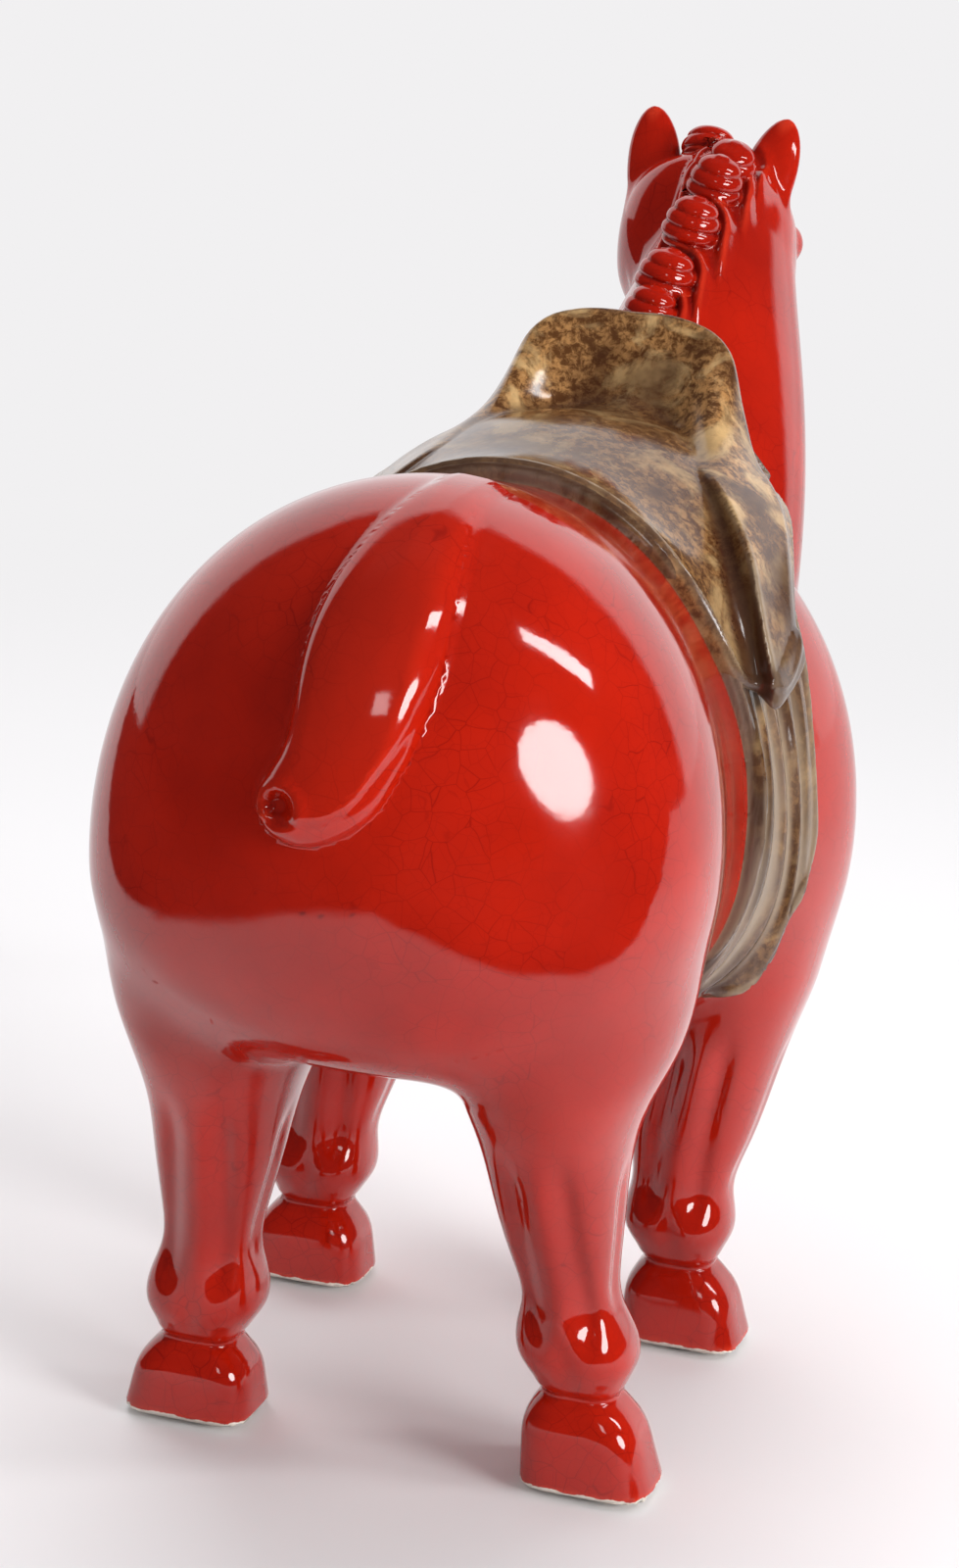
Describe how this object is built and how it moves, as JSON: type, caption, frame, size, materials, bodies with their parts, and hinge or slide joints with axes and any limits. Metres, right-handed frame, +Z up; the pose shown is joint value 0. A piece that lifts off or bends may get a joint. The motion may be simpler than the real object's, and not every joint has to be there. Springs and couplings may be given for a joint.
{
  "type": "ceramic horse figurine",
  "caption": "Glazed ceramic standing horse in the Tang style, with a saddle and pleated saddle cloth, knotted mane and pads under the hooves.",
  "frame": {"origin": "on the floor under the middle of the figurine's bounding box, at the undersides of the hoof pads", "axes": "+Z up, +X to the horse's left, -Y the way the horse faces, so +Y points from head to tail"},
  "size_m": [0.1684, 0.3964, 0.3422],
  "materials": {
    "red_glaze": "gloss",
    "brown_glaze": "gloss",
    "pad_foam": "matte"
  },
  "bodies": {
    "root": {"trunk": "red_glaze", "saddle_cloth": "brown_glaze", "saddle": "brown_glaze", "neck_and_head": "red_glaze", "ear_left": "red_glaze", "ear_right": "red_glaze", "mane_knot_1": "red_glaze", "mane_knot_2": "red_glaze", "mane_knot_3": "red_glaze", "mane_knot_4": "red_glaze", "mane_knot_5": "red_glaze", "forelock_knot": "red_glaze", "tail": "red_glaze", "leg_hind_left": "red_glaze", "leg_hind_right": "red_glaze", "leg_front_left": "red_glaze", "leg_front_right": "red_glaze", "pad_hind_left": "pad_foam", "pad_hind_right": "pad_foam", "pad_front_left": "pad_foam", "pad_front_right": "pad_foam"}
  },
  "joints": []
}
